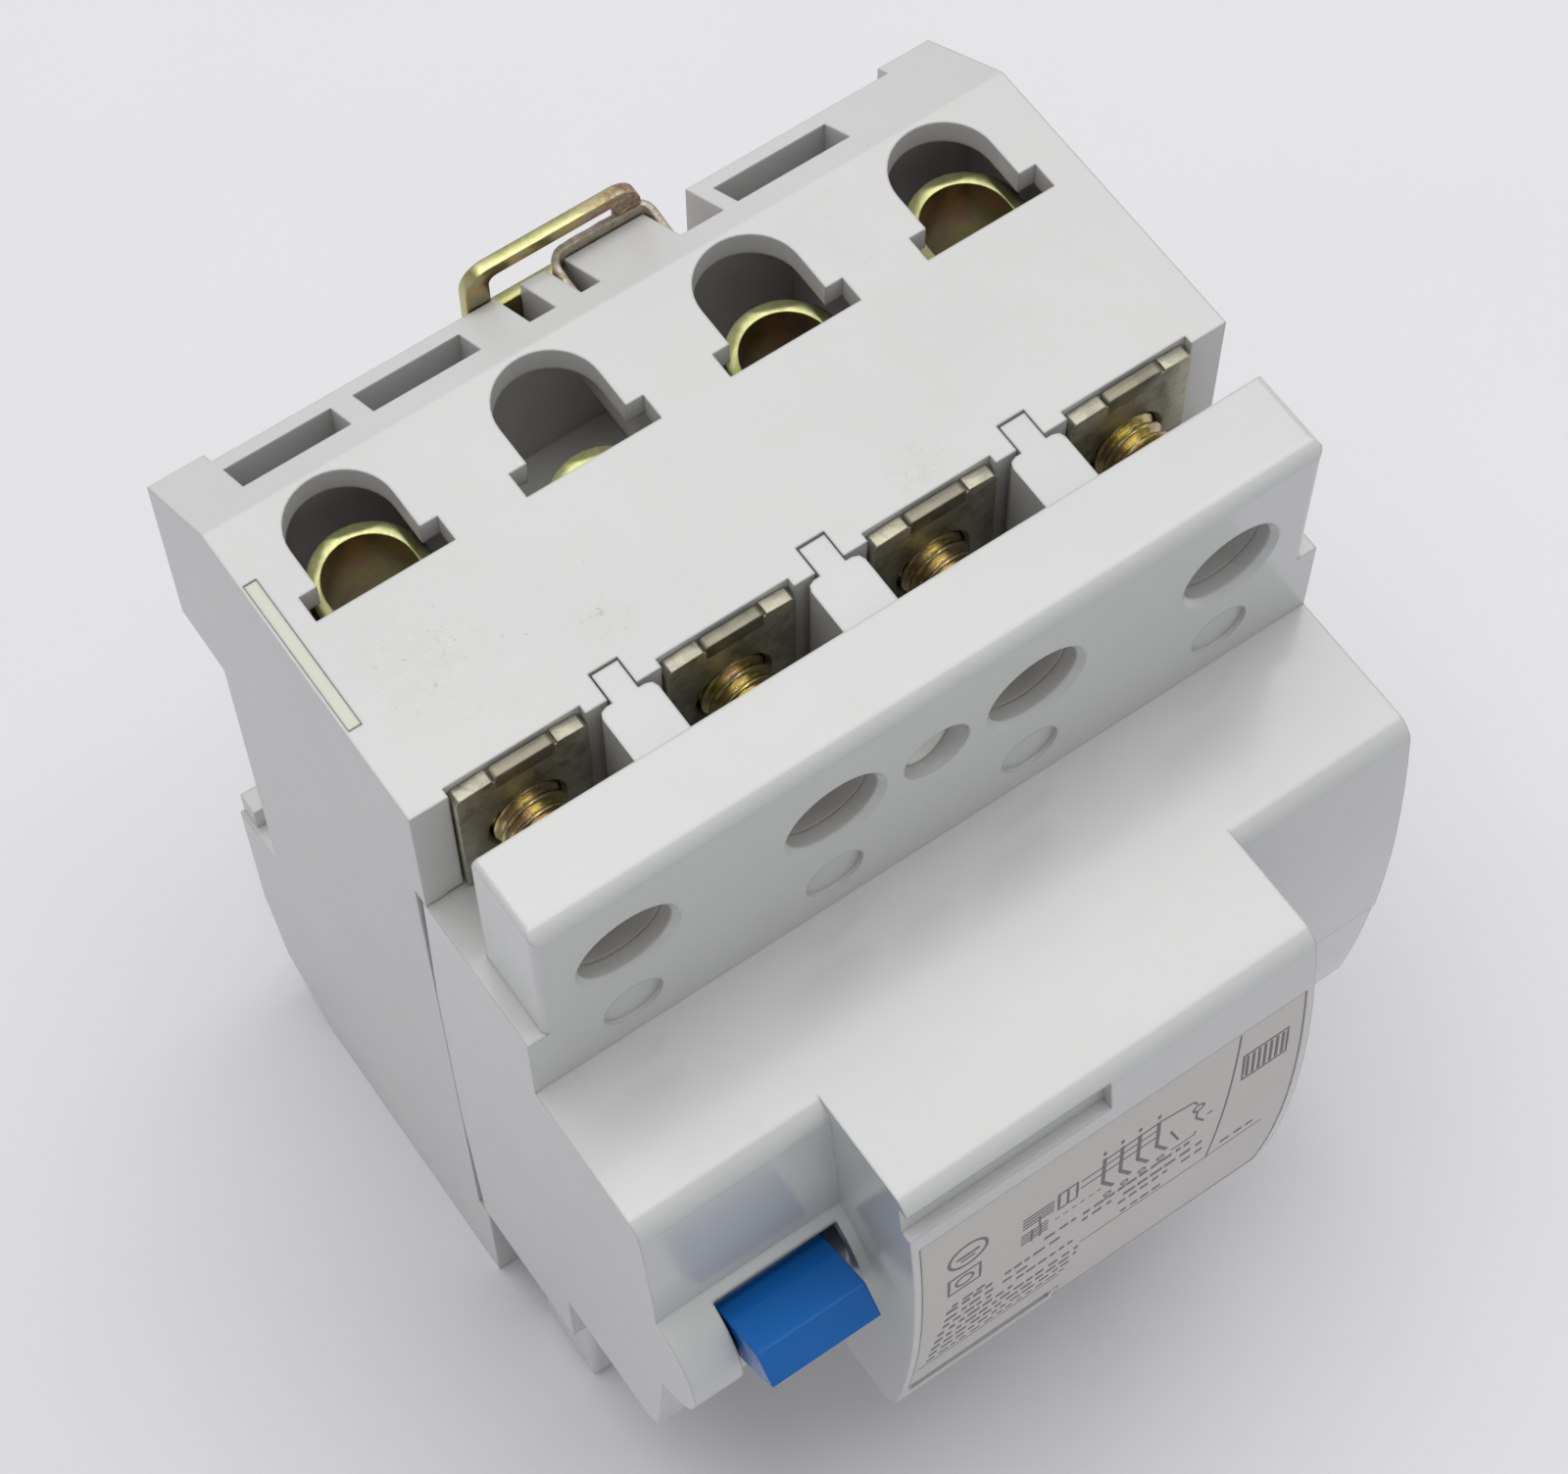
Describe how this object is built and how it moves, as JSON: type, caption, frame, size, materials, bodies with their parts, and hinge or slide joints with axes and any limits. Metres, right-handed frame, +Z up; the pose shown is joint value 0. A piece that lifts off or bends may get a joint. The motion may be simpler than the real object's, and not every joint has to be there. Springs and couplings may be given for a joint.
{
  "type": "residual current device",
  "caption": "Rail-mounted modular residual current device with a blue toggle lever, test key, label plate on a raised nose, and screw cage terminals at both ends",
  "frame": {"origin": "centre of the bounding box at the base: it stands on its lower terminal end, z = 0", "axes": "+Z up toward the upper terminals, -Y toward the front with the lever and label, +Y toward the rail, +X to the right seen from the front"},
  "size_m": [0.07, 0.074, 0.0917],
  "materials": {
    "housing_grey": "satin light grey moulding",
    "cover_grey": "satin pale grey moulding",
    "label_ivory": "smooth printed plate",
    "lever_blue": "semi-gloss moulding",
    "plain_steel": "plain",
    "spring_steel": "drawn wire",
    "plate_steel": "dark olive passivated",
    "zinc_yellow": "yellow zinc chromate",
    "copper": "bare copper",
    "silver": "contact rivets",
    "dark_plastic": "matt dark moulding",
    "resistor_body": "ceramic body",
    "magnet": "sintered"
  },
  "bodies": {
    "base": {"rear_housing": "housing_grey", "front_cover": "cover_grey", "label_plate": "label_ivory", "marker_strip": "label_ivory", "seal_plugs": "cover_grey", "cover_screws": "plain_steel", "toggle_axle": "plain_steel", "toggle_spring": "spring_steel", "test_button_spring": "spring_steel", "test_contact": "copper", "test_resistor": "resistor_body", "terminal_plates_upper": "plate_steel", "terminal_plates_lower": "plate_steel", "busbars_upper": "copper", "primary_conductors": "copper", "fixed_contacts": "silver", "opening_springs": "spring_steel", "arc_plates": "plain_steel", "transformer_core": "plain_steel", "transformer_winding": "copper", "transformer_cradle": "dark_plastic", "mechanism_frame": "dark_plastic", "relay_yoke": "plain_steel", "relay_coil": "copper", "relay_magnet": "magnet", "trip_axle": "plain_steel", "secondary_leads": "copper"},
    "lever": {"toggle_lever": "lever_blue"},
    "link": {"drive_link": "plain_steel"},
    "carrier": {"contact_carrier": "dark_plastic", "moving_contacts": "copper", "contact_springs": "spring_steel"},
    "test_key": {"test_button": "cover_grey"},
    "latch": {"rail_latch": "zinc_yellow", "rail_latch_spring": "zinc_yellow"},
    "armature": {"relay_armature": "plain_steel"},
    "trip": {"trip_lever": "cover_grey"},
    "screw_upper_1": {"screw_upper_1": "zinc_yellow"},
    "cage_upper_1": {"cage_upper_1": "zinc_yellow"},
    "screw_upper_2": {"screw_upper_2": "zinc_yellow"},
    "cage_upper_2": {"cage_upper_2": "zinc_yellow"},
    "screw_upper_3": {"screw_upper_3": "zinc_yellow"},
    "cage_upper_3": {"cage_upper_3": "zinc_yellow"},
    "screw_upper_4": {"screw_upper_4": "zinc_yellow"},
    "cage_upper_4": {"cage_upper_4": "zinc_yellow"},
    "screw_lower_1": {"screw_lower_1": "zinc_yellow"},
    "cage_lower_1": {"cage_lower_1": "zinc_yellow"},
    "screw_lower_2": {"screw_lower_2": "zinc_yellow"},
    "cage_lower_2": {"cage_lower_2": "zinc_yellow"},
    "screw_lower_3": {"screw_lower_3": "zinc_yellow"},
    "cage_lower_3": {"cage_lower_3": "zinc_yellow"},
    "screw_lower_4": {"screw_lower_4": "zinc_yellow"},
    "cage_lower_4": {"cage_lower_4": "zinc_yellow"}
  },
  "joints": [
    {"name": "lever_hinge", "type": "hinge", "parent": "base", "child": "lever", "pos_m": [0, -0.0243, 0.045], "axis": [1, 0, 0], "range_deg": [0, 54]},
    {"name": "link_hinge", "type": "hinge", "parent": "lever", "child": "link", "pos_m": [0, -0.01985, 0.04727], "axis": [1, 0, 0], "range_deg": [-64, 0]},
    {"name": "carrier_slide", "type": "slide", "parent": "base", "child": "carrier", "axis": [0, -1, 0], "range_m": [0, 0.004], "deforming": ["opening_springs"]},
    {"name": "test_key_slide", "type": "slide", "parent": "base", "child": "test_key", "axis": [0, 1, 0], "range_m": [0, 0.0016], "stiffness_N_per_m": 400, "springref_m": -0.0008, "deforming": ["test_button_spring"]},
    {"name": "latch_slide", "type": "slide", "parent": "base", "child": "latch", "axis": [0, 0, 1], "range_m": [0, 0.0032], "stiffness_N_per_m": 800},
    {"name": "armature_hinge", "type": "hinge", "parent": "base", "child": "armature", "pos_m": [0.025, -0.0107, 0.046], "axis": [1, 0, 0], "range_deg": [0, 6]},
    {"name": "trip_hinge", "type": "hinge", "parent": "base", "child": "trip", "pos_m": [0.025, -0.015, 0.06], "axis": [-1, 0, 0], "range_deg": [0, 6.2]},
    {"name": "screw_upper_1_turn", "type": "hinge", "parent": "base", "child": "screw_upper_1", "pos_m": [-0.02625, -0.003, 0.082], "axis": [0, 1, 0], "range_deg": [-144, 1944]},
    {"name": "cage_upper_1_slide", "type": "slide", "parent": "base", "child": "cage_upper_1", "axis": [0, -1, 0], "range_m": [-0.0004, 0.0054]},
    {"name": "screw_upper_2_turn", "type": "hinge", "parent": "base", "child": "screw_upper_2", "pos_m": [-0.00875, -0.003, 0.082], "axis": [0, 1, 0], "range_deg": [-1620, 540]},
    {"name": "cage_upper_2_slide", "type": "slide", "parent": "base", "child": "cage_upper_2", "axis": [0, -1, 0], "range_m": [-0.0045, 0.0015]},
    {"name": "screw_upper_3_turn", "type": "hinge", "parent": "base", "child": "screw_upper_3", "pos_m": [0.00875, -0.003, 0.082], "axis": [0, 1, 0], "range_deg": [-540, 1440]},
    {"name": "cage_upper_3_slide", "type": "slide", "parent": "base", "child": "cage_upper_3", "axis": [0, -1, 0], "range_m": [-0.0015, 0.004]},
    {"name": "screw_upper_4_turn", "type": "hinge", "parent": "base", "child": "screw_upper_4", "pos_m": [0.02625, -0.003, 0.082], "axis": [0, 1, 0], "range_deg": [0, 1944]},
    {"name": "cage_upper_4_slide", "type": "slide", "parent": "base", "child": "cage_upper_4", "axis": [0, -1, 0], "range_m": [0, 0.0054]},
    {"name": "screw_lower_1_turn", "type": "hinge", "parent": "base", "child": "screw_lower_1", "pos_m": [-0.02625, -0.003, 0.008], "axis": [0, 1, 0], "range_deg": [-144, 1944]},
    {"name": "cage_lower_1_slide", "type": "slide", "parent": "base", "child": "cage_lower_1", "axis": [0, -1, 0], "range_m": [-0.0004, 0.0054]},
    {"name": "screw_lower_2_turn", "type": "hinge", "parent": "base", "child": "screw_lower_2", "pos_m": [-0.00875, -0.003, 0.008], "axis": [0, 1, 0], "range_deg": [-144, 1944]},
    {"name": "cage_lower_2_slide", "type": "slide", "parent": "base", "child": "cage_lower_2", "axis": [0, -1, 0], "range_m": [-0.0004, 0.0054]},
    {"name": "screw_lower_3_turn", "type": "hinge", "parent": "base", "child": "screw_lower_3", "pos_m": [0.00875, -0.003, 0.008], "axis": [0, 1, 0], "range_deg": [-144, 1944]},
    {"name": "cage_lower_3_slide", "type": "slide", "parent": "base", "child": "cage_lower_3", "axis": [0, -1, 0], "range_m": [-0.0004, 0.0054]},
    {"name": "screw_lower_4_turn", "type": "hinge", "parent": "base", "child": "screw_lower_4", "pos_m": [0.02625, -0.003, 0.008], "axis": [0, 1, 0], "range_deg": [-144, 1944]},
    {"name": "cage_lower_4_slide", "type": "slide", "parent": "base", "child": "cage_lower_4", "axis": [0, -1, 0], "range_m": [-0.0004, 0.0054]}
  ],
  "couplings": [
    {"joint": "link_hinge", "follows": "lever_hinge", "ratio": -1.178},
    {"joint": "carrier_slide", "follows": "lever_hinge", "m_per_rad": 0.00413},
    {"joint": "trip_hinge", "follows": "armature_hinge", "ratio": 1},
    {"joint": "screw_upper_1_turn", "follows": "cage_upper_1_slide", "rad_per_m": 6283.2},
    {"joint": "screw_upper_2_turn", "follows": "cage_upper_2_slide", "rad_per_m": 6283.2},
    {"joint": "screw_upper_3_turn", "follows": "cage_upper_3_slide", "rad_per_m": 6283.2},
    {"joint": "screw_upper_4_turn", "follows": "cage_upper_4_slide", "rad_per_m": 6283.2},
    {"joint": "screw_lower_1_turn", "follows": "cage_lower_1_slide", "rad_per_m": 6283.2},
    {"joint": "screw_lower_2_turn", "follows": "cage_lower_2_slide", "rad_per_m": 6283.2},
    {"joint": "screw_lower_3_turn", "follows": "cage_lower_3_slide", "rad_per_m": 6283.2},
    {"joint": "screw_lower_4_turn", "follows": "cage_lower_4_slide", "rad_per_m": 6283.2}
  ]
}
